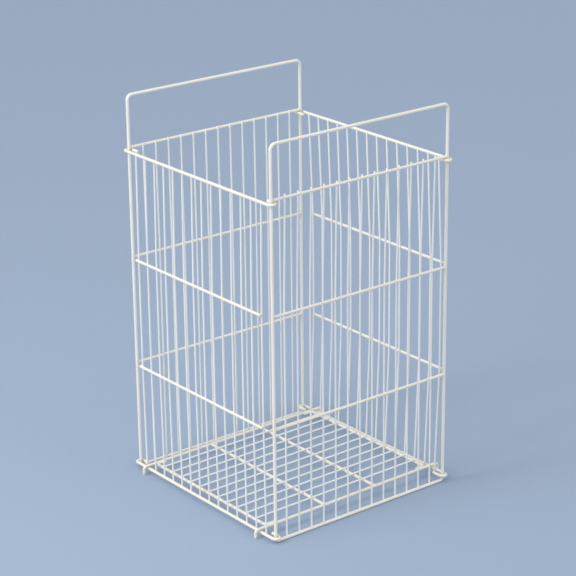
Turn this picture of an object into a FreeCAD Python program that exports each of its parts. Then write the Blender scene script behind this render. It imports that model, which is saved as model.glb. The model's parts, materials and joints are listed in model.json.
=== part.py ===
import FreeCAD, Part
import math
import os

# Collapsible wire dump bin. Four welded wire panels stand in a square: the front and back
# panels are handle frames, and the left and right panels end in eyes that turn on the
# uprights of those frames. A floor flap hooks over the left panel's bottom rail and is
# looped round the right panel's bottom rail.
# Millimetres, +Z up, front towards -Y. The origin is at the middle of the footprint, on
# the surface that the bin stands on.

Vector = FreeCAD.Vector

# Overall sizes, measured between wire axes
width = 400.0
depth = 420.0
rim_height = 638.7

# Wire diameters
frame_wire = 6.0
rail_wire = 5.2
eye_rail_wire = 5.7
fill_wire = 3.3
floor_wire = 5.5
floor_fill_wire = 3.3

# Handle frames and their rails
handle_rise = 98.0
handle_bend = 10.0
foot_bend = 6.5
front_upper_rail_height = 429.0
front_lower_rail_height = 218.0
front_fill_lean = 4.5
back_upper_rail_height = 427.5
back_lower_rail_height = 216.5
back_fill_lean = -1.5
frame_fill_above_rim = 4.5
frame_fill_above_ground = 1.5

# Side panels, whose middle rails are welded on a little to one side of true
left_foot_eye_lift = 0.5
left_upper_rail_height = 427.0
left_lower_rail_height = 215.5
left_rail_drift = 3.2
right_foot_eye_lift = 3.7
right_upper_rail_height = 432.5
right_lower_rail_height = 223.0
right_rail_drift = -10.0
side_fill_overrun = 1.0
side_rail_overrun = 2.0
eye_tail = 18.0

# Fill wires, as many as fit between the uprights of a panel
fill_pitch = 28.5
fill_margin = 22.0
fill_bend = 400.0

# Floor flap
floor_end_setback = 16.0
floor_side_inset = 11.25
floor_left_cross_shift = 5.5
floor_corner_bend = 8.0
floor_tail = 20.0
floor_fill_overrun = 3.0
floor_fill_fewer = 3
hook_slack = 5.0
hook_tip_height = 0.6
loop_slack = 7.0
loop_tip_bend = 4.0

# Clearances
eye_clearance = 0.8
rim_clearance = 0.35
hook_clearance = 0.4
weld_gap = 0.02
butt_gap = 0.05
tip_clearance = 0.6
end_round = 0.7

# Derived sizes and places
upright_x = width / 2
upright_y = depth / 2
handle_height = rim_height + handle_rise
frame_fill_count = int((width - 2 * fill_margin) / fill_pitch) + 1
side_fill_count = int((depth - 2 * fill_margin) / fill_pitch) + 1
frame_radius = frame_wire / 2
rail_radius = rail_wire / 2
eye_rail_radius = eye_rail_wire / 2
fill_radius = fill_wire / 2
floor_radius = floor_wire / 2
floor_fill_radius = floor_fill_wire / 2
eye_radius = frame_radius + eye_clearance + eye_rail_radius
side_rail_x = upright_x + eye_radius
side_fill_x = side_rail_x - eye_rail_radius - fill_radius - weld_gap
side_mid_rail_x = side_fill_x + fill_radius + rail_radius + weld_gap
left_bottom_rail_height = frame_radius + foot_bend + left_foot_eye_lift
right_bottom_rail_height = frame_radius + foot_bend + right_foot_eye_lift
side_top_rail_height = rim_height - rail_radius - rim_clearance - eye_rail_radius
frame_rail_y = upright_y - frame_radius + rail_radius
frame_fill_y = upright_y - frame_radius - fill_radius - weld_gap
hook_radius = eye_rail_radius + hook_clearance + floor_radius
floor_height = left_bottom_rail_height + hook_radius
floor_slope = math.atan2(right_bottom_rail_height - left_bottom_rail_height, 2 * side_rail_x)
floor_fill_count = side_fill_count - floor_fill_fewer
floor_side_y = fill_pitch * (side_fill_count - 1) / 2 - floor_side_inset
floor_end_x = side_rail_x - floor_end_setback


def unit(start, end):
    """Direction from one point to another."""
    direction = end.sub(start)
    direction.normalize()
    return direction


def rod(start, end, radius, rounded_start=True, rounded_end=True):
    """Straight round wire, its ends rounded where they are cut ends."""
    length = end.sub(start).Length
    body = Part.makeCylinder(radius, length, start, unit(start, end))
    edges = []
    for edge in body.Edges:
        if not isinstance(edge.Curve, Part.Circle):
            continue
        at_start = edge.Curve.Center.sub(start).Length < length / 2
        if (at_start and rounded_start) or (not at_start and rounded_end):
            edges.append(edge)
    if edges:
        body = body.makeFillet(end_round, edges)
    return body


def bend(start, incoming, outgoing, bend_radius, radius):
    """Bent stretch of wire that turns from one direction to another."""
    axis = incoming.cross(outgoing)
    axis.normalize()
    centre = start + axis.cross(incoming) * bend_radius
    turn = math.degrees(incoming.getAngle(outgoing))
    ring = Part.Wire([Part.makeCircle(radius, start, incoming)])
    return Part.Face(ring).revolve(centre, axis, turn)


def bent_wire(points, bend_radii, radius, closed=False):
    """Round wire along straight runs joined by bends, one radius for each inner point."""
    count = len(points)
    corners = range(count) if closed else range(1, count - 1)
    run_starts = {index: points[index] for index in range(count)}
    run_ends = {index: points[index] for index in range(count)}
    pieces = []
    for index in corners:
        corner = points[index]
        bend_radius = bend_radii[index] if closed else bend_radii[index - 1]
        incoming = unit(points[index - 1], corner)
        outgoing = unit(corner, points[(index + 1) % count])
        reach = bend_radius * math.tan(incoming.getAngle(outgoing) / 2)
        run_ends[index] = corner - incoming * reach
        run_starts[index] = corner + outgoing * reach
        pieces.append(bend(run_ends[index], incoming, outgoing, bend_radius, radius))
    last_run = count if closed else count - 1
    for index in range(last_run):
        start = run_starts[index]
        end = run_ends[(index + 1) % count]
        if end.sub(start).Length < weld_gap:
            continue
        cut_start = index == 0 and not closed
        cut_end = index == last_run - 1 and not closed
        pieces.append(rod(start, end, radius, cut_start, cut_end))
    return pieces[0].multiFuse(pieces[1:]).removeSplitter()


def centred_steps(count, pitch):
    """Evenly spaced places either side of zero."""
    return [(index - (count - 1) / 2) * pitch for index in range(count)]


def handle_frame(y):
    """Closed loop of thick wire: foot rail, two uprights and the handle bar."""
    corners = [
        Vector(-upright_x, y, frame_radius),
        Vector(upright_x, y, frame_radius),
        Vector(upright_x, y, handle_height),
        Vector(-upright_x, y, handle_height),
    ]
    return bent_wire(corners, [foot_bend, foot_bend, handle_bend, handle_bend], frame_radius, closed=True)


def frame_rail(y, height):
    """Rail welded between the two uprights, flush with their inner side."""
    reach = upright_x - frame_radius - butt_gap
    return rod(Vector(-reach, y, height), Vector(reach, y, height), rail_radius)


def frame_fill(y, upper_height, lean):
    """Upright fill wires along the inner side of the rails, leaning a little above the upper rail."""
    wires = []
    for x in centred_steps(frame_fill_count, fill_pitch):
        path = [
            Vector(x, y, frame_fill_above_ground),
            Vector(x, y, upper_height),
            Vector(x + lean, y, rim_height + frame_fill_above_rim),
        ]
        wires.append(bent_wire(path, [fill_bend], fill_radius))
    return Part.makeCompound(wires)


def eye_rail(side, height):
    """Side rail whose ends turn back round both uprights and finish as short tails."""
    outer_x = side * side_rail_x
    inner_x = side * (upright_x - eye_radius)
    turn_y = upright_y + eye_radius
    tail_y = upright_y - eye_tail
    path = [
        Vector(inner_x, -tail_y, height),
        Vector(inner_x, -turn_y, height),
        Vector(outer_x, -turn_y, height),
        Vector(outer_x, turn_y, height),
        Vector(inner_x, turn_y, height),
        Vector(inner_x, tail_y, height),
    ]
    return bent_wire(path, [eye_radius] * 4, eye_rail_radius)


def side_mid_rail(side, height, drift):
    """Side rail that stops just past the outermost fill wires."""
    reach = centred_steps(side_fill_count, fill_pitch)[-1] + side_rail_overrun
    x = side * side_mid_rail_x
    return rod(Vector(x, drift - reach, height), Vector(x, drift + reach, height), rail_radius)


def side_fill(side, bottom_height, lower_height, upper_height, drift):
    """Upright fill wires along the inner side of the side rails, held over by the middle rails."""
    x = side * side_fill_x
    wires = []
    for y in centred_steps(side_fill_count, fill_pitch):
        path = [
            Vector(x, y, bottom_height - side_fill_overrun),
            Vector(x, y + drift, lower_height),
            Vector(x, y + drift, upper_height),
            Vector(x, y, side_top_rail_height + side_fill_overrun),
        ]
        wires.append(bent_wire(path, [fill_bend] * 2, fill_radius))
    return Part.makeCompound(wires)


def laid_on_slope(shape):
    """The floor flap rises from the left bottom rail to the higher right one."""
    sloped = shape.copy()
    left_rail = Vector(-side_rail_x, 0, left_bottom_rail_height)
    sloped.rotate(left_rail, Vector(0, 1, 0), -math.degrees(floor_slope))
    return sloped


def floor_side_wire(y):
    """Side wire of the flap: a loose hook over the left rail and a long loop round the right rail."""
    rail_x = 2 * side_rail_x / math.cos(floor_slope) - side_rail_x
    hook_x = -side_rail_x - hook_radius - hook_slack
    loop_x = rail_x + hook_radius + loop_slack
    tip_x = rail_x - hook_radius
    loop_bottom = left_bottom_rail_height - hook_radius
    tip_z = floor_height - floor_wire - tip_clearance
    path = [
        Vector(hook_x, y, hook_tip_height),
        Vector(hook_x, y, floor_height),
        Vector(loop_x, y, floor_height),
        Vector(loop_x, y, loop_bottom),
        Vector(tip_x, y, loop_bottom),
        Vector(tip_x, y, tip_z),
    ]
    bends = [hook_radius, hook_radius, hook_radius, loop_tip_bend]
    return laid_on_slope(bent_wire(path, bends, floor_radius))


def floor_end_wire(side):
    """End wire of the flap, its bent ends lying along the side wires."""
    x = side * floor_end_x
    tail_x = side * (floor_end_x - floor_tail)
    y = floor_side_y - floor_wire - weld_gap
    path = [
        Vector(tail_x, -y, floor_height),
        Vector(x, -y, floor_height),
        Vector(x, y, floor_height),
        Vector(tail_x, y, floor_height),
    ]
    return laid_on_slope(bent_wire(path, [floor_corner_bend] * 2, floor_radius))


def floor_cross_wire(x):
    """Cross wire of the flap, welded between the side wires."""
    reach = floor_side_y - floor_radius - butt_gap
    return laid_on_slope(rod(Vector(x, -reach, floor_height), Vector(x, reach, floor_height), floor_radius))


def floor_fill():
    """Thin wires of the flap, lying on its end and cross wires."""
    z = floor_height + floor_radius + floor_fill_radius + weld_gap
    reach = floor_end_x + floor_fill_overrun
    wires = [rod(Vector(-reach, y, z), Vector(reach, y, z), floor_fill_radius)
             for y in centred_steps(floor_fill_count, fill_pitch)]
    return laid_on_slope(Part.makeCompound(wires))


def build():
    """All the nodes of the bin by name."""
    nodes = {}
    frames = (
        ("front", -1, front_lower_rail_height, front_upper_rail_height, front_fill_lean),
        ("back", 1, back_lower_rail_height, back_upper_rail_height, back_fill_lean),
    )
    for name, facing, lower_height, upper_height, lean in frames:
        rail_y = facing * frame_rail_y
        nodes[name + "_handle_frame"] = handle_frame(facing * upright_y)
        nodes[name + "_rim_rail"] = frame_rail(rail_y, rim_height)
        nodes[name + "_upper_rail"] = frame_rail(rail_y, upper_height)
        nodes[name + "_lower_rail"] = frame_rail(rail_y, lower_height)
        nodes[name + "_fill_wires"] = frame_fill(facing * frame_fill_y, upper_height, lean)
    left_heights = (left_bottom_rail_height, left_lower_rail_height, left_upper_rail_height)
    right_heights = (right_bottom_rail_height, right_lower_rail_height, right_upper_rail_height)
    panels = (("left", -1, left_heights, left_rail_drift), ("right", 1, right_heights, right_rail_drift))
    for name, side, heights, drift in panels:
        bottom_height, lower_height, upper_height = heights
        nodes[name + "_top_rail"] = eye_rail(side, side_top_rail_height)
        nodes[name + "_upper_rail"] = side_mid_rail(side, upper_height, drift)
        nodes[name + "_lower_rail"] = side_mid_rail(side, lower_height, drift)
        nodes[name + "_bottom_rail"] = eye_rail(side, bottom_height)
        nodes[name + "_fill_wires"] = side_fill(side, bottom_height, lower_height, upper_height, drift)
        nodes["floor_" + name + "_end_wire"] = floor_end_wire(side)
    for name, facing in (("front", -1), ("back", 1)):
        nodes["floor_" + name + "_side_wire"] = floor_side_wire(facing * floor_side_y)
    cross_x = floor_end_x / 3
    nodes["floor_left_cross_wire"] = floor_cross_wire(floor_left_cross_shift - cross_x)
    nodes["floor_right_cross_wire"] = floor_cross_wire(cross_x)
    nodes["floor_fill_wires"] = floor_fill()
    return nodes


os.makedirs("parts", exist_ok=True)
for node, shape in build().items():
    shape.exportStep(os.path.join("parts", node + ".step"))
    print(node, len(shape.Solids), round(shape.Volume, 1), shape.isValid())
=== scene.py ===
import bpy
import bmesh
import json
import math
import random
from mathutils import Matrix, Vector


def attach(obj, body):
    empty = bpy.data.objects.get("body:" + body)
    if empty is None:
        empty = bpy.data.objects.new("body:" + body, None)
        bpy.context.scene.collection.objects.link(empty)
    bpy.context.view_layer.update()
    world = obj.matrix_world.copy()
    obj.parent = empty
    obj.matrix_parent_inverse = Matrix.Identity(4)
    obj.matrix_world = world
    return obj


# Collapsible wire dump bin, dipped in a cream white coating.
# The wires themselves come from the CAD frame. Added here are the coating webs at the welds,
# the beads on cut ends, small drips, the materials, the floor, the lamps and the camera.

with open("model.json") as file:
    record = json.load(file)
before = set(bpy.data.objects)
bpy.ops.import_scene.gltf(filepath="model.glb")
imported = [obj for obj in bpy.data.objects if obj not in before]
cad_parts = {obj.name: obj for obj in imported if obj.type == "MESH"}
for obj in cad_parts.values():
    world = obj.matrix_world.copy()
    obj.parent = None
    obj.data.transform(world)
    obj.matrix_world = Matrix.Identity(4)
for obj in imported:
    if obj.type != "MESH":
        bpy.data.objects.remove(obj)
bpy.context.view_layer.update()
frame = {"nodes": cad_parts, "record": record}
print("frame loaded:", len(frame["nodes"]), "wires and wire groups")

mm = 0.001
randomDraw = random.Random(41)


# node helpers
def addNode(tree, kind, place, **values):
    node = tree.nodes.new(kind)
    node.location = place
    for key, value in values.items():
        setattr(node, key, value)
    return node


def link(tree, source, target):
    tree.links.new(source, target)


def plug(tree, value, socket):
    # a plain number is set on the socket, and anything else is linked to it
    if isinstance(value, (int, float)):
        socket.default_value = value
    else:
        link(tree, value, socket)


def mathNode(tree, operation, place, first, second=None, clamp=False):
    node = addNode(tree, "ShaderNodeMath", place, operation=operation, use_clamp=clamp)
    plug(tree, first, node.inputs[0])
    if second is not None:
        plug(tree, second, node.inputs[1])
    return node.outputs[0]


def rampNode(tree, place, source, low, high, outLow=0.0, outHigh=1.0):
    node = addNode(tree, "ShaderNodeMapRange", place, interpolation_type="SMOOTHSTEP")
    link(tree, source, node.inputs["Value"])
    node.inputs["From Min"].default_value = low
    node.inputs["From Max"].default_value = high
    node.inputs["To Min"].default_value = outLow
    node.inputs["To Max"].default_value = outHigh
    return node.outputs["Result"]


def noiseNode(tree, place, vector, scale, detail, roughness):
    node = addNode(tree, "ShaderNodeTexNoise", place)
    link(tree, vector, node.inputs["Vector"])
    plug(tree, scale, node.inputs["Scale"])
    node.inputs["Detail"].default_value = detail
    node.inputs["Roughness"].default_value = roughness
    return node.outputs["Fac"]


def mixColour(tree, place, factor, first, second):
    node = addNode(tree, "ShaderNodeMix", place, data_type="RGBA")
    link(tree, factor, node.inputs[0])
    for socket, value in ((node.inputs[6], first), (node.inputs[7], second)):
        if isinstance(value, tuple):
            socket.default_value = (*value, 1.0)
        else:
            link(tree, value, socket)
    return node.outputs[2]


def newGroup(name, inputs, outputs):
    group = bpy.data.node_groups.new(name, "ShaderNodeTree")
    for socketName, default in inputs:
        socket = group.interface.new_socket(
            socketName, in_out="INPUT", socket_type="NodeSocketFloat")
        socket.default_value = default
    for socketName in outputs:
        group.interface.new_socket(socketName, in_out="OUTPUT", socket_type="NodeSocketFloat")
    entry = addNode(group, "NodeGroupInput", (-900, 0))
    leave = addNode(group, "NodeGroupOutput", (700, 0))
    return group, entry, leave


# shared effects
# grain is the detail and roughness of a noise, and from and to are where its mask starts and ends
dippedCoating = {
    "peelScale": 900.0, "peelGrain": (2.0, 0.45), "peelShare": 0.35,
    "sagScale": 120.0, "sagGrain": (2.0, 0.5),
    "cloudScale": 14.0, "cloudGrain": (4.0, 0.6), "cloudFrom": 0.34, "cloudTo": 0.68,
}


def makeCoatingGroup():
    # fine peel of a dipped coat, slow sags along the wire, and cloudy tone
    look = dippedCoating
    group, entry, leave = newGroup(
        "dippedCoating",
        [("Peel Scale", look["peelScale"]), ("Sag Scale", look["sagScale"]),
         ("Cloud Scale", look["cloudScale"])],
        ["Height", "Cloud"])
    coords = addNode(group, "ShaderNodeTexCoord", (-900, -250)).outputs["Object"]
    peel = noiseNode(group, (-600, 200), coords, entry.outputs["Peel Scale"], *look["peelGrain"])
    sag = noiseNode(group, (-600, 0), coords, entry.outputs["Sag Scale"], *look["sagGrain"])
    cloud = noiseNode(
        group, (-600, -200), coords, entry.outputs["Cloud Scale"], *look["cloudGrain"])
    peelPart = mathNode(group, "MULTIPLY", (-300, 200), peel, look["peelShare"])
    link(group, mathNode(group, "ADD", (-100, 100), peelPart, sag), leave.inputs["Height"])
    cloud = rampNode(group, (-300, -200), cloud, look["cloudFrom"], look["cloudTo"])
    link(group, cloud, leave.inputs["Cloud"])
    return group


handlingWear = {
    "smudgeScale": 38.0, "smudgeGrain": (5.0, 0.62), "smudgeFrom": 0.52, "smudgeTo": 0.72,
    "nickScale": 260.0, "nickGrain": (2.0, 0.4), "nickLevel": 0.80, "nickEdge": 0.03,
}


def makeWearGroup():
    # smudges from handling, and small pinholes and nicks in the coat
    look = handlingWear
    group, entry, leave = newGroup(
        "handlingWear",
        [("Smudge Scale", look["smudgeScale"]), ("Nick Scale", look["nickScale"]),
         ("Nick Level", look["nickLevel"])],
        ["Smudge", "Nick"])
    coords = addNode(group, "ShaderNodeTexCoord", (-900, -250)).outputs["Object"]
    smudge = noiseNode(
        group, (-600, 150), coords, entry.outputs["Smudge Scale"], *look["smudgeGrain"])
    smudge = rampNode(group, (-300, 150), smudge, look["smudgeFrom"], look["smudgeTo"])
    link(group, smudge, leave.inputs["Smudge"])
    nick = noiseNode(group, (-600, -50), coords, entry.outputs["Nick Scale"], *look["nickGrain"])
    above = mathNode(group, "SUBTRACT", (-300, -50), nick, entry.outputs["Nick Level"])
    nick = rampNode(group, (-100, -50), above, 0.0, look["nickEdge"])
    link(group, nick, leave.inputs["Nick"])
    return group


settledDust = {
    "groundHeight": 0.05, "baseLevel": 0.25, "upwardFrom": 0.35,
    "grainScale": 160.0, "grain": (4.0, 0.65), "grainFrom": 0.38, "grainTo": 0.66,
}


def makeDustGroup():
    # dust that settles on top sides, more of it near the ground
    look = settledDust
    group, entry, leave = newGroup(
        "settledDust",
        [("Ground Height", look["groundHeight"]), ("Base Level", look["baseLevel"])],
        ["Dust"])
    coordNode = addNode(group, "ShaderNodeTexCoord", (-900, -250))
    split = addNode(group, "ShaderNodeSeparateXYZ", (-700, -150))
    link(group, coordNode.outputs["Object"], split.inputs[0])
    normalSplit = addNode(group, "ShaderNodeSeparateXYZ", (-700, -350))
    link(group, coordNode.outputs["Normal"], normalSplit.inputs[0])
    upward = rampNode(
        group, (-500, -350), normalSplit.outputs["Z"], look["upwardFrom"], 1.0)
    share = mathNode(
        group, "DIVIDE", (-500, -150), split.outputs["Z"], entry.outputs["Ground Height"])
    low = rampNode(group, (-300, -150), share, 1.0, 0.0)
    low = mathNode(group, "MAXIMUM", (-100, -150), low, entry.outputs["Base Level"])
    grain = noiseNode(
        group, (-500, 100), coordNode.outputs["Object"], look["grainScale"], *look["grain"])
    grain = rampNode(group, (-300, 100), grain, look["grainFrom"], look["grainTo"])
    dust = mathNode(group, "MULTIPLY", (100, -100), upward, low)
    link(group, mathNode(group, "MULTIPLY", (300, 0), dust, grain), leave.inputs["Dust"])
    return group


# in metres, and the fade is where a ring is at its full strength, as a share of its reach
eyeRub = {
    "uprightX": 0.2, "uprightY": 0.21, "reach": 0.0075, "reachFade": 0.6,
    "topEyeHeight": 0.633, "footEyeHeight": 0.010, "ringHeight": 0.006, "ringFade": 0.35,
    "scrapeScale": 420.0, "scrapeGrain": (3.0, 0.6), "scrapeFrom": 0.34, "scrapeTo": 0.6,
}


def makeRubGroup():
    # dull rubbed rings where the side panels' eyes turn on the uprights
    look = eyeRub
    group, entry, leave = newGroup(
        "eyeRub",
        [("Upright X", look["uprightX"]), ("Upright Y", look["uprightY"]),
         ("Reach", look["reach"]), ("Top Eye Height", look["topEyeHeight"]),
         ("Foot Eye Height", look["footEyeHeight"]), ("Ring Height", look["ringHeight"])],
        ["Rub"])
    coords = addNode(group, "ShaderNodeTexCoord", (-1100, -250)).outputs["Object"]
    split = addNode(group, "ShaderNodeSeparateXYZ", (-900, -250))
    link(group, coords, split.inputs[0])
    squares = []
    for axis, row in (("X", 200), ("Y", 0)):
        away = mathNode(group, "ABSOLUTE", (-700, row), split.outputs[axis])
        away = mathNode(group, "SUBTRACT", (-550, row), away, entry.outputs["Upright " + axis])
        squares.append(mathNode(group, "MULTIPLY", (-400, row), away, away))
    away = mathNode(group, "SQRT", (-100, 100), mathNode(group, "ADD", (-250, 100), *squares))
    away = mathNode(group, "DIVIDE", (0, 100), away, entry.outputs["Reach"])
    near = rampNode(group, (100, 100), away, 1.0, look["reachFade"])
    rings = []
    for label, row in (("Top Eye Height", -200), ("Foot Eye Height", -400)):
        gap = mathNode(group, "SUBTRACT", (-700, row), split.outputs["Z"], entry.outputs[label])
        gap = mathNode(group, "ABSOLUTE", (-550, row), gap)
        gap = mathNode(group, "DIVIDE", (-400, row), gap, entry.outputs["Ring Height"])
        rings.append(rampNode(group, (-250, row), gap, 1.0, look["ringFade"]))
    ring = mathNode(group, "MAXIMUM", (0, -300), *rings)
    scrape = noiseNode(group, (-100, -500), coords, look["scrapeScale"], *look["scrapeGrain"])
    scrape = rampNode(group, (100, -500), scrape, look["scrapeFrom"], look["scrapeTo"])
    rub = mathNode(group, "MULTIPLY", (300, 0), near, ring)
    link(group, mathNode(group, "MULTIPLY", (500, 0), rub, scrape), leave.inputs["Rub"])
    return group


coatingGroup = makeCoatingGroup()
wearGroup = makeWearGroup()
dustGroup = makeDustGroup()
rubGroup = makeRubGroup()
print("shared effects made")


# materials, one for each kind of wire and one for the welds
coatLooks = {
    "frame_wire_coat": {
        "clean": (0.875, 0.855, 0.775), "aged": (0.855, 0.822, 0.720),
        "smudge": (0.60, 0.58, 0.52), "nick": (0.42, 0.40, 0.37),
        "dust": (0.52, 0.50, 0.45), "rub": (0.47, 0.46, 0.43),
        "smudgeShare": 0.07, "dustShare": 0.22, "rubShare": 0.50, "nickLevel": 0.81,
        "roughLow": 0.30, "roughHigh": 0.46, "peelScale": 850.0, "sagScale": 95.0,
        "bumpStrength": 0.30, "bumpDistance": 0.00016, "coat": 0.22,
    },
    "rail_wire_coat": {
        "clean": (0.875, 0.848, 0.748), "aged": (0.850, 0.810, 0.690),
        "smudge": (0.62, 0.58, 0.50), "nick": (0.42, 0.39, 0.35),
        "dust": (0.52, 0.50, 0.45), "rub": (0.48, 0.46, 0.42),
        "smudgeShare": 0.07, "dustShare": 0.22, "rubShare": 0.48, "nickLevel": 0.81,
        "roughLow": 0.28, "roughHigh": 0.45, "peelScale": 950.0, "sagScale": 120.0,
        "bumpStrength": 0.30, "bumpDistance": 0.00014, "coat": 0.22,
    },
    "fill_wire_coat": {
        "clean": (0.836, 0.852, 0.838), "aged": (0.832, 0.836, 0.800),
        "smudge": (0.62, 0.61, 0.56), "nick": (0.44, 0.43, 0.41),
        "dust": (0.52, 0.50, 0.46), "rubShare": 0.0,
        "smudgeShare": 0.05, "dustShare": 0.22, "nickLevel": 0.82,
        "roughLow": 0.32, "roughHigh": 0.50, "peelScale": 1200.0, "sagScale": 170.0,
        "bumpStrength": 0.26, "bumpDistance": 0.00011, "coat": 0.16,
    },
    "floor_wire_coat": {
        "clean": (0.860, 0.832, 0.738), "aged": (0.832, 0.790, 0.675),
        "smudge": (0.57, 0.53, 0.46), "nick": (0.41, 0.38, 0.34),
        "dust": (0.50, 0.47, 0.42), "rubShare": 0.0,
        "smudgeShare": 0.14, "dustShare": 0.34, "nickLevel": 0.80,
        "roughLow": 0.34, "roughHigh": 0.54, "peelScale": 950.0, "sagScale": 120.0,
        "bumpStrength": 0.34, "bumpDistance": 0.00015, "coat": 0.14,
    },
    # the weld webs' darker, browner tone and heavy brown smudging are painted shade in the
    # crevices where the wires cross
    "weld_coat_with_painted_shade": {
        "clean": (0.862, 0.830, 0.735), "aged": (0.800, 0.745, 0.630),
        "smudge": (0.50, 0.43, 0.33), "nick": (0.38, 0.34, 0.29),
        "dust": (0.47, 0.43, 0.37), "rubShare": 0.0,
        "smudgeShare": 0.28, "dustShare": 0.34, "nickLevel": 0.79,
        "roughLow": 0.34, "roughHigh": 0.56, "peelScale": 1100.0, "sagScale": 300.0,
        "bumpStrength": 0.45, "bumpDistance": 0.00020, "coat": 0.14,
    },
}
# the same in every coat: how much each mark roughens the surface, the depth of a nick against
# the peel and sags, and the gloss of the top layer
coatShare = {
    "smudgeRough": 0.9, "rubRough": 0.18, "dustRough": 0.5, "nickDepth": 0.8,
    "glossRoughness": 0.22, "ior": 1.49,
}


def groupNode(tree, group, place, values):
    node = addNode(tree, "ShaderNodeGroup", place, node_tree=group)
    for socketName, value in values.items():
        node.inputs[socketName].default_value = value
    return node


def makeCoat(name, look):
    material = bpy.data.materials.new(name)
    material.use_nodes = True
    tree = material.node_tree
    shader = tree.nodes["Principled BSDF"]
    coating = groupNode(tree, coatingGroup, (-1200, 200),
                        {"Peel Scale": look["peelScale"], "Sag Scale": look["sagScale"]})
    wear = groupNode(tree, wearGroup, (-1200, -100), {"Nick Level": look["nickLevel"]})
    dust = groupNode(tree, dustGroup, (-1200, -300), {})

    def times(place, source, share):
        return mathNode(tree, "MULTIPLY", place, source, share)

    colour = mixColour(tree, (-950, 300), coating.outputs["Cloud"], look["clean"], look["aged"])
    smudge = times((-1000, 0), wear.outputs["Smudge"], look["smudgeShare"])
    colour = mixColour(tree, (-750, 250), smudge, colour, look["smudge"])
    dusty = times((-1000, -250), dust.outputs["Dust"], look["dustShare"])
    colour = mixColour(tree, (-550, 200), dusty, colour, look["dust"])
    rough = rampNode(tree, (-750, -50), coating.outputs["Cloud"], 0.0, 1.0,
                     look["roughLow"], look["roughHigh"])
    rough = mathNode(tree, "ADD", (-550, -50), rough,
                     times((-750, -200), smudge, coatShare["smudgeRough"]))
    if look["rubShare"] > 0.0:
        rub = groupNode(tree, rubGroup, (-1200, -500), {})
        rubbed = times((-1000, -450), rub.outputs["Rub"], look["rubShare"])
        colour = mixColour(tree, (-400, 150), rubbed, colour, look["rub"])
        rough = mathNode(tree, "ADD", (-400, -50), rough,
                         times((-550, -250), rubbed, coatShare["rubRough"]))
    colour = mixColour(tree, (-250, 150), wear.outputs["Nick"], colour, look["nick"])
    rough = mathNode(tree, "ADD", (-250, -50), rough,
                     times((-400, -250), dusty, coatShare["dustRough"]), clamp=True)
    link(tree, colour, shader.inputs["Base Color"])
    link(tree, rough, shader.inputs["Roughness"])
    bump = addNode(tree, "ShaderNodeBump", (-250, -300))
    bump.inputs["Strength"].default_value = look["bumpStrength"]
    bump.inputs["Distance"].default_value = look["bumpDistance"]
    level = mathNode(tree, "SUBTRACT", (-450, -400), coating.outputs["Height"],
                     times((-650, -400), wear.outputs["Nick"], coatShare["nickDepth"]))
    link(tree, level, bump.inputs["Height"])
    link(tree, bump.outputs["Normal"], shader.inputs["Normal"])
    shader.inputs["Coat Weight"].default_value = look["coat"]
    shader.inputs["Coat Roughness"].default_value = coatShare["glossRoughness"]
    shader.inputs["IOR"].default_value = coatShare["ior"]
    return material


coats = {slotName: makeCoat(slotName.replace("_", " "), look)
         for slotName, look in coatLooks.items()}
for part in frame["record"]["subparts"]:
    wire = frame["nodes"][part["node"]]
    wire.data.materials.clear()
    wire.data.materials.append(coats[part["material_slot"]])


# sizes and places of the welded mesh, in millimetres
mesh = {
    "frameRadius": 3.0, "railRadius": 2.6, "eyeRailRadius": 2.85, "fillRadius": 1.65,
    "uprightX": 200.0, "rimHeight": 638.7, "frameRailY": 209.6, "frameFillY": 205.33,
    "frameFillTop": 643.2, "frameFillBottom": 1.5, "frameFillCount": 13,
    "sideRailX": 206.65, "sideMidRailX": 206.4, "sideFillX": 202.13, "topRailHeight": 632.9,
    "sideFillCount": 14, "fillPitch": 28.5, "railOverrun": 2.0,
}
# heights of the rails, and how far the fill wires lean or drift sideways
frameRails = {
    "front": {"facing": -1, "lower": 218.0, "upper": 429.0, "lean": 4.5},
    "back": {"facing": 1, "lower": 216.5, "upper": 427.5, "lean": -1.5},
}
sideRails = {
    "left": {"side": -1, "bottom": 10.0, "lower": 215.5, "upper": 427.0, "drift": 3.2},
    "right": {"side": 1, "bottom": 13.2, "lower": 223.0, "upper": 432.5, "drift": -10.0},
}


def evenSteps(count, pitch):
    return [(index - (count - 1) / 2) * pitch for index in range(count)]


def scatter(share):
    return 1.0 + randomDraw.uniform(-share, share)


def axes(along, across, out, origin):
    # matrix that turns x, y and z to the three directions and moves them to the origin
    columns = [Vector(along), Vector(across), Vector(out)]
    turn = Matrix(columns).transposed().to_4x4()
    return Matrix.Translation(Vector(origin)) @ turn


def closedTube(bm, segments, cuts):
    # capped upright tube of radius 1 from -1 to 1, cut into rings; returns its vertices
    made = bmesh.ops.create_cone(bm, cap_ends=True, segments=segments,
                                 radius1=1.0, radius2=1.0, depth=2.0)["verts"]
    uprights = [edge for edge in {edge for vert in made for edge in vert.link_edges}
                if abs(edge.verts[0].co.z - edge.verts[1].co.z) > 1.0]
    bmesh.ops.subdivide_edges(bm, edges=uprights, cuts=cuts, use_grid_fill=False)
    return [vert for vert in bm.verts if not vert.tag]


def settle(bm, verts, matrix):
    # moves a new shape into place and tags it, so that the next tube leaves it alone
    bmesh.ops.transform(bm, matrix=matrix, verts=verts)
    for vert in verts:
        vert.tag = True


# each ring: level, half length along the thick wire, half length along the thin wire, depth,
# lean; the middle three are each in radii of the thick and of the thin wire, summed
webSize = {
    "segments": 12, "scatter": 0.10, "endLength": 0.62, "levelSlack": 0.01,
    "rings": (
        (-1.0, (1.05, 0.9), (0.86, 0.0), (-0.52, 0.0), 0.0),
        (-0.5, (0.42, 1.1), (0.93, 0.0), (-0.20, 0.0), 0.0),
        (0.0, (0.0, 1.38), (0.62, 0.55), (0.0, 0.0), 0.3),
        (0.5, (0.0, 1.08), (0.45, 1.0), (0.0, 0.22), 0.65),
        (1.0, (0.0, 0.88), (0.30, 1.7), (0.0, 0.50), 1.0),
    ),
}


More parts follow.
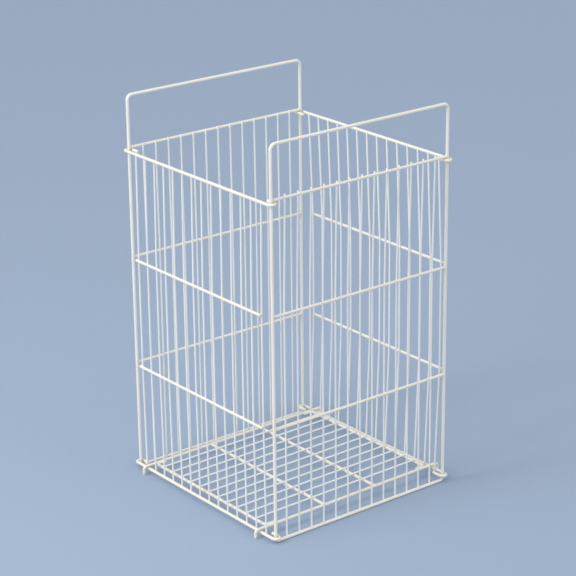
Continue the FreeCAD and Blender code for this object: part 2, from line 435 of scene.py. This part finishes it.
def addWeb(bm, matrix, thin, thick, lean=0.0):
    # coating web of a cross weld: a waisted plug, long along the thick wire on one side
    # and along the thin wire on the other; where the thin wire ends, the web is shorter
    # and lean slides it back along that wire
    made = closedTube(bm, webSize["segments"], len(webSize["rings"]) - 2)
    grow = scatter(webSize["scatter"])
    lengthGrow = webSize["endLength"] if lean else grow
    for level, alongThick, alongThin, depth, share in webSize["rings"]:
        ring = [vert for vert in made if abs(vert.co.z - level) < webSize["levelSlack"]]
        width = (alongThick[0] * thick + alongThick[1] * thin) * grow
        length = (alongThin[0] * thick + alongThin[1] * thin) * lengthGrow
        sink = depth[0] * thick + depth[1] * thin
        bmesh.ops.scale(bm, vec=(width, length, 0.0), verts=ring)
        bmesh.ops.translate(bm, vec=(0.0, lean * share, sink), verts=ring)
    settle(bm, made, matrix)


beadSize = {"fineFacets": 8, "wideFacets": 12, "scatter": 0.05}


def addBead(bm, centre, radii, facets=beadSize["fineFacets"]):
    made = bmesh.ops.create_uvsphere(
        bm, u_segments=facets, v_segments=facets // 2 + 1, radius=1.0)["verts"]
    grow = scatter(beadSize["scatter"])
    bmesh.ops.scale(bm, vec=tuple(radius * grow for radius in radii), verts=made)
    settle(bm, made, Matrix.Translation(centre))


# skin and flares are in the rail's radii, start and length in millimetres
collarSize = {
    "segments": 20, "rings": 3, "scatter": 0.12, "skin": 1.01,
    "flareAcross": 0.06, "flareAlong": 0.50, "start": -2.0, "length": 4.4,
}


def addCollar(bm, matrix, radius):
    # fillet of a butt weld, wide end first, flared along the wire that it meets
    made = closedTube(bm, collarSize["segments"], collarSize["rings"])
    grow = scatter(collarSize["scatter"])
    for vert in made:
        share = (vert.co.z + 1.0) / 2.0
        flare = grow * (1.0 - share) ** 2
        vert.co.x *= radius * (collarSize["skin"] + collarSize["flareAcross"] * flare)
        vert.co.y *= radius * (collarSize["skin"] + collarSize["flareAlong"] * flare)
        vert.co.z = collarSize["start"] + share * collarSize["length"]
    settle(bm, made, matrix)


# radius, and nearest and farthest from the weld, in millimetres; the rest are shares of the radius
dripSize = {
    "chance": 0.22, "radius": 0.85, "smallest": 0.75, "largest": 1.15,
    "stretch": 1.5, "nearest": 3.0, "farthest": 7.0, "sunk": 0.2,
}


def addDrip(bm, place, along, wireRadius):
    # small nub of coating that ran together on the underside of a rail beside a weld
    if randomDraw.random() > dripSize["chance"]:
        return
    radius = dripSize["radius"] * randomDraw.uniform(dripSize["smallest"], dripSize["largest"])
    side = randomDraw.choice((-1, 1))
    shift = Vector(along) * side * randomDraw.uniform(dripSize["nearest"], dripSize["farthest"])
    drop = Vector((0, 0, wireRadius + radius * dripSize["sunk"]))
    addBead(bm, Vector(place) + shift - drop, (radius, radius, radius * dripSize["stretch"]))


def finishPiece(bm, name, body, material):
    bmesh.ops.scale(bm, vec=(mm, mm, mm), verts=bm.verts[:])
    bmesh.ops.recalc_face_normals(bm, faces=bm.faces[:])
    for face in bm.faces:
        face.smooth = True
    shell = bpy.data.meshes.new(name)
    bm.to_mesh(shell)
    bm.free()
    piece = bpy.data.objects.new(name, shell)
    bpy.context.scene.collection.objects.link(piece)
    shell.materials.append(material)
    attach(piece, body)


# front and back panels: ends of their fill wires, swell in the wire's radii
frameEnds = {"swell": 1.07, "height": 1.5, "topDrop": 1.25, "footRise": 1.15}


def makeFramePanelWelds(name, rails):
    facing = rails["facing"]
    welds = bmesh.new()
    beads = bmesh.new()
    fillY = facing * mesh["frameFillY"]
    railY = facing * mesh["frameRailY"]
    contactY = facing * (mesh["frameFillY"] + mesh["fillRadius"])
    top = mesh["frameFillTop"]
    heights = (rails["lower"], rails["upper"], mesh["rimHeight"])
    swollen = mesh["fillRadius"] * frameEnds["swell"]
    radii = (swollen, swollen, frameEnds["height"])
    for x in evenSteps(mesh["frameFillCount"], mesh["fillPitch"]):
        for height in heights:
            lift = max(0.0, height - rails["upper"]) / (top - rails["upper"])
            at = (x + rails["lean"] * lift, contactY, height)
            addWeb(welds, axes((1, 0, 0), (0, 0, 1), (0, -facing, 0), at),
                   mesh["fillRadius"], mesh["railRadius"])
            addDrip(beads, (at[0], railY, height), (1, 0, 0), mesh["railRadius"])
        addBead(beads, (x + rails["lean"], fillY, top - frameEnds["topDrop"]), radii)
        addBead(beads, (x, fillY, mesh["frameFillBottom"] + frameEnds["footRise"]), radii)
    for height in heights:
        for side in (-1, 1):
            at = (side * (mesh["uprightX"] - mesh["frameRadius"]), railY, height)
            addCollar(welds, axes((0, 1, 0), (0, 0, 1), (-side, 0, 0), at), mesh["railRadius"])
    body = name + "_panel"
    finishPiece(welds, body + "_welds", body, coats["weld_coat_with_painted_shade"])
    finishPiece(beads, name + "_wire_ends", body, coats["fill_wire_coat"])


for panelName, panelRails in frameRails.items():
    makeFramePanelWelds(panelName, panelRails)
print("front and back welds made")


# side panels: lean of the webs at the ends of the fill wires, and the ends of wires and rails
sideEnds = {
    "webLean": 1.5, "swell": 1.05, "height": 1.2, "overrun": 0.1,
    "railEndLength": 1.7, "railEndInset": 1.4,
}


def makeSidePanelWelds(name, rails):
    side = rails["side"]
    welds = bmesh.new()
    beads = bmesh.new()
    fillX = side * mesh["sideFillX"]
    railX = side * mesh["sideMidRailX"]
    contactX = side * (mesh["sideFillX"] + mesh["fillRadius"])
    levels = (
        (rails["bottom"], 0.0, mesh["eyeRailRadius"], sideEnds["webLean"]),
        (rails["lower"], rails["drift"], mesh["railRadius"], 0.0),
        (rails["upper"], rails["drift"], mesh["railRadius"], 0.0),
        (mesh["topRailHeight"], 0.0, mesh["eyeRailRadius"], -sideEnds["webLean"]),
    )
    swollen = mesh["fillRadius"] * sideEnds["swell"]
    radii = (swollen, swollen, sideEnds["height"])
    steps = evenSteps(mesh["sideFillCount"], mesh["fillPitch"])
    for y in steps:
        for height, drift, railRadius, lean in levels:
            at = (contactX, y + drift, height)
            addWeb(welds, axes((0, 1, 0), (0, 0, 1), (-side, 0, 0), at),
                   mesh["fillRadius"], railRadius, lean)
            addDrip(beads, (railX, y + drift, height), (0, 1, 0), railRadius)
        addBead(beads, (fillX, y, mesh["topRailHeight"] + sideEnds["overrun"]), radii)
        addBead(beads, (fillX, y, rails["bottom"] - sideEnds["overrun"]), radii)
    reach = steps[-1] + mesh["railOverrun"] - sideEnds["railEndInset"]
    swollen = mesh["railRadius"] * sideEnds["swell"]
    radii = (swollen, sideEnds["railEndLength"], swollen)
    for height in (rails["lower"], rails["upper"]):
        for end in (-1, 1):
            at = (railX, rails["drift"] + end * reach, height)
            addBead(beads, at, radii, beadSize["wideFacets"])
    body = name + "_panel"
    finishPiece(welds, body + "_welds", body, coats["weld_coat_with_painted_shade"])
    finishPiece(beads, name + "_wire_ends", body, coats["rail_wire_coat"])


for panelName, panelRails in sideRails.items():
    makeSidePanelWelds(panelName, panelRails)
print("side welds made")


# floor flap, in millimetres; endSwell and seamHeight are in the wire's radii, and seamShare is
# half a seam's length as a share of the stretch where its two wires lie together
flap = {
    "height": 16.0, "wireRadius": 2.75, "fillRadius": 1.65,
    "sideY": 174.0, "endX": 190.65, "leftCrossX": -58.05, "rightCrossX": 63.55,
    "fillCount": 11, "fillOverrun": 3.0, "endSwell": 1.07, "endLength": 1.5, "endInset": 1.2,
    "tail": 20.0, "corner": 8.0, "seamShare": 0.44, "seamDepth": 0.9, "seamHeight": 0.62,
}


def makeFlapWelds():
    welds = bmesh.new()
    beads = bmesh.new()
    contactZ = flap["height"] + flap["wireRadius"]
    contactY = flap["sideY"] - flap["wireRadius"]
    crossX = (flap["leftCrossX"], flap["rightCrossX"])
    fillEndX = flap["endX"] + flap["fillOverrun"] - flap["endInset"]
    swollen = flap["fillRadius"] * flap["endSwell"]
    for y in evenSteps(flap["fillCount"], mesh["fillPitch"]):
        for x in (-flap["endX"], *crossX, flap["endX"]):
            addWeb(welds, axes((0, 1, 0), (-1, 0, 0), (0, 0, 1), (x, y, contactZ)),
                   flap["fillRadius"], flap["wireRadius"])
        for end in (-1, 1):
            at = (end * fillEndX, y, contactZ + flap["fillRadius"])
            addBead(beads, at, (flap["endLength"], swollen, swollen))
    # a seam joins each side wire to the tail of an end wire that lies along it
    seamX = flap["endX"] - (flap["tail"] + flap["corner"]) / 2
    halfSeam = (flap["tail"] - flap["corner"]) * flap["seamShare"]
    seamRadii = (halfSeam, flap["seamDepth"], flap["wireRadius"] * flap["seamHeight"])
    for end in (-1, 1):
        for x in crossX:
            at = (x, end * contactY, flap["height"])
            addCollar(welds, axes((1, 0, 0), (0, 0, 1), (0, -end, 0), at), flap["wireRadius"])
        for side in (-1, 1):
            at = (side * seamX, end * contactY, flap["height"])
            addBead(welds, at, seamRadii, beadSize["wideFacets"])
    # the flap slopes from the left bottom rail to the higher right one
    leftFoot = sideRails["left"]["bottom"]
    slope = math.atan2(sideRails["right"]["bottom"] - leftFoot, 2 * mesh["sideRailX"])
    lift = Matrix.Translation((-mesh["sideRailX"], 0, leftFoot))
    tilt = lift @ Matrix.Rotation(-slope, 4, "Y") @ lift.inverted()
    for bm in (welds, beads):
        bmesh.ops.transform(bm, matrix=tilt, verts=bm.verts[:])
    finishPiece(welds, "floor_flap_welds", "floor_flap", coats["weld_coat_with_painted_shade"])
    finishPiece(beads, "floor_wire_ends", "floor_flap", coats["fill_wire_coat"])


makeFlapWelds()
print("floor flap welds made")


# stage
stage = {
    "floorColour": (0.315, 0.400, 0.535), "floorRoughness": 0.85, "floorSpecular": 0.1,
    "floorReach": 30.0, "floorFacets": 64,
    "backdropColour": (0.350, 0.445, 0.600), "ambient": 0.62, "ambientColour": (1.0, 0.995, 0.985),
}


def makeFloor():
    bm = bmesh.new()
    bmesh.ops.create_circle(
        bm, cap_ends=True, segments=stage["floorFacets"], radius=stage["floorReach"])
    sheet = bpy.data.meshes.new("floor")
    bm.to_mesh(sheet)
    bm.free()
    floor = bpy.data.objects.new("floor", sheet)
    bpy.context.scene.collection.objects.link(floor)
    material = bpy.data.materials.new("pale floor")
    material.use_nodes = True
    shader = material.node_tree.nodes["Principled BSDF"]
    shader.inputs["Base Color"].default_value = (*stage["floorColour"], 1.0)
    shader.inputs["Roughness"].default_value = stage["floorRoughness"]
    shader.inputs["Specular IOR Level"].default_value = stage["floorSpecular"]
    sheet.materials.append(material)


def makeWorld():
    # soft white light, and a plain blue backdrop for the camera and for reflections
    world = bpy.data.worlds.new("studio")
    bpy.context.scene.world = world
    world.use_nodes = True
    tree = world.node_tree
    tree.nodes.clear()
    rays = addNode(tree, "ShaderNodeLightPath", (-800, 300)).outputs
    seen = mathNode(
        tree, "MAXIMUM", (-600, 300), rays["Is Camera Ray"], rays["Is Glossy Ray"])
    seen = mathNode(tree, "MAXIMUM", (-400, 300), seen, rays["Is Transmission Ray"])
    soft = addNode(tree, "ShaderNodeBackground", (-400, 0))
    soft.inputs["Color"].default_value = (*stage["ambientColour"], 1.0)
    soft.inputs["Strength"].default_value = stage["ambient"]
    shown = addNode(tree, "ShaderNodeBackground", (-400, -200))
    shown.inputs["Color"].default_value = (*stage["backdropColour"], 1.0)
    mix = addNode(tree, "ShaderNodeMixShader", (-100, 0))
    out = addNode(tree, "ShaderNodeOutputWorld", (100, 0))
    link(tree, seen, mix.inputs[0])
    link(tree, soft.outputs[0], mix.inputs[1])
    link(tree, shown.outputs[0], mix.inputs[2])
    link(tree, mix.outputs[0], out.inputs[0])


# size is a sun's angle in degrees, or an area lamp's side in metres
lamps = {
    "key": {
        "kind": "SUN", "spot": (-2.5, 0.25, 1.7), "size": 28.0,
        "power": 0.66, "colour": (1.0, 0.992, 0.972),
    },
    "side": {
        "kind": "AREA", "spot": (-2.3, 0.25, 1.7), "size": 1.5,
        "power": 25.0, "colour": (1.0, 0.995, 0.980),
    },
    "overhead": {
        "kind": "SUN", "spot": (-0.5, 0.1, 2.0), "size": 40.0,
        "power": 0.58, "colour": (1.0, 0.99, 0.97),
    },
    "front": {
        "kind": "SUN", "spot": (0.5, -1.4, 1.0), "size": 60.0,
        "power": 0.75, "colour": (1.0, 0.985, 0.955),
    },
}
lampTarget = Vector((0.0, 0.0, 0.35))


def makeLamps():
    for name, lamp in lamps.items():
        data = bpy.data.lights.new(name, lamp["kind"])
        data.energy = lamp["power"]
        data.color = lamp["colour"]
        if lamp["kind"] == "SUN":
            data.angle = math.radians(lamp["size"])
        else:
            data.size = lamp["size"]
        holder = bpy.data.objects.new(name, data)
        holder.location = lamp["spot"]
        aim = lampTarget - holder.location
        holder.rotation_euler = aim.to_track_quat("-Z", "Y").to_euler()
        bpy.context.scene.collection.objects.link(holder)


makeFloor()
makeWorld()
makeLamps()
print("stage, world and lamps made")


# camera: angles in degrees, distances in metres, lens and sensor in millimetres
view = {
    "azimuth": -38.23, "elevation": 20.15, "roll": -0.68, "distance": 4.0419,
    "sideways": -0.0002, "rise": 0.3538, "lens": 132.35, "sensor": 36.0, "farthest": 100.0,
}


def makeCamera():
    turn = math.radians(view["azimuth"])
    tilt = math.radians(view["elevation"])
    roll = math.radians(view["roll"])
    back = Vector((math.sin(turn) * math.cos(tilt), -math.cos(turn) * math.cos(tilt),
                   math.sin(tilt)))
    right = Vector((math.cos(turn), math.sin(turn), 0.0))
    up = back.cross(right)
    spot = back * view["distance"] + right * view["sideways"] + up * view["rise"]
    rolledRight = right * math.cos(roll) + up * math.sin(roll)
    rolledUp = up * math.cos(roll) - right * math.sin(roll)
    data = bpy.data.cameras.new("camera")
    data.lens = view["lens"]
    data.sensor_width = view["sensor"]
    data.clip_end = view["farthest"]
    camera = bpy.data.objects.new("camera", data)
    facing = Matrix((rolledRight, rolledUp, back)).transposed().to_4x4()
    camera.matrix_world = Matrix.Translation(spot) @ facing
    bpy.context.scene.collection.objects.link(camera)
    bpy.context.scene.camera = camera


makeCamera()
bpy.context.scene.view_settings.view_transform = "Standard"
print("camera placed")
